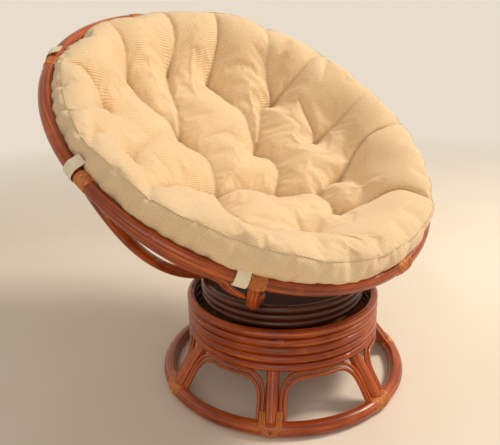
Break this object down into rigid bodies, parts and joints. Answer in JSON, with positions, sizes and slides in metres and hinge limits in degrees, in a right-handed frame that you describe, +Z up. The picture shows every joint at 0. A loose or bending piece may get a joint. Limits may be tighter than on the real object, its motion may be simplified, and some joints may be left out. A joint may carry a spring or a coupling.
{
  "type": "papasan swivel rocker chair",
  "caption": "Round bowl chair of stained rattan poles with a tufted cushion, on a drum of stacked hoops that swivels and rocks over a legged floor ring.",
  "frame": {"origin": "on the floor, below the middle of the chair's outline", "axes": "+Z up; the bowl opens towards -Y, so +Y is the high back and +X is the left hand of the person who sits in it"},
  "size_m": [1.1144, 0.9424, 1.0094],
  "materials": {
    "stained_cane": "reddish brown stain under satin lacquer on bent rattan poles",
    "dark_cane": "the same stained rattan, darker in the inner drum",
    "peel": "split rattan peel, lighter orange, satin",
    "plywood": "plain plywood boards inside the drums",
    "steel": "pressed steel plates of the swivel and rocker, grey paint",
    "spring_steel": "bare spring steel",
    "cushion_cloth": "cream cotton cover with a fine rib, button tufts and sewn tie straps"
  },
  "bodies": {
    "base": {"floor_ring": "stained_cane", "leg_1": "stained_cane", "leg_2": "stained_cane", "leg_3": "stained_cane", "leg_4": "stained_cane", "leg_5": "stained_cane", "leg_6": "stained_cane", "arch_reed_1": "stained_cane", "arch_reed_2": "stained_cane", "arch_reed_3": "stained_cane", "arch_reed_4": "stained_cane", "arch_reed_5": "stained_cane", "arch_reed_6": "stained_cane", "foot_binding_1": "peel", "foot_binding_2": "peel", "foot_binding_3": "peel", "foot_binding_4": "peel", "foot_binding_5": "peel", "foot_binding_6": "peel", "outer_hoop_1": "stained_cane", "outer_hoop_2": "stained_cane", "outer_hoop_3": "stained_cane", "outer_hoop_4": "stained_cane", "outer_hoop_5": "stained_cane", "base_board": "plywood", "swivel_plate": "steel"},
    "turntable": {"turntable": "steel", "rocker_pin": "spring_steel", "spring_front": "spring_steel", "spring_back": "spring_steel"},
    "seat": {"rocker_saddle": "steel", "seat_board": "plywood", "inner_hoop_1": "dark_cane", "inner_hoop_2": "dark_cane", "inner_hoop_3": "dark_cane", "rim": "stained_cane", "rib_1": "stained_cane", "rib_2": "stained_cane", "rib_3": "stained_cane", "rib_4": "stained_cane", "rib_5": "stained_cane", "rib_6": "stained_cane", "rib_7": "stained_cane", "rib_8": "stained_cane", "rim_binding_1": "peel", "rim_binding_2": "peel", "rim_binding_3": "peel", "rim_binding_4": "peel", "rim_binding_5": "peel", "rim_binding_6": "peel", "rim_binding_7": "peel", "rim_binding_8": "peel", "bay_reed_1": "stained_cane", "bay_reed_2": "stained_cane", "bay_reed_3": "stained_cane", "bay_reed_4": "stained_cane", "bay_reed_5": "stained_cane", "bay_reed_6": "stained_cane", "bay_reed_7": "stained_cane", "cushion": "cushion_cloth"}
  },
  "joints": [
    {"name": "swivel", "type": "hinge", "parent": "base", "child": "turntable", "pos_m": [-0.00065, -0.10216, 0.175], "axis": [0, 0, 1], "continuous": true},
    {"name": "rock", "type": "hinge", "parent": "turntable", "child": "seat", "pos_m": [-0.00065, -0.10216, 0.205], "axis": [1, 0, 0], "range_deg": [-10, 8], "stiffness_Nm_per_rad": 1500, "deforming": ["spring_front", "spring_back"]}
  ]
}
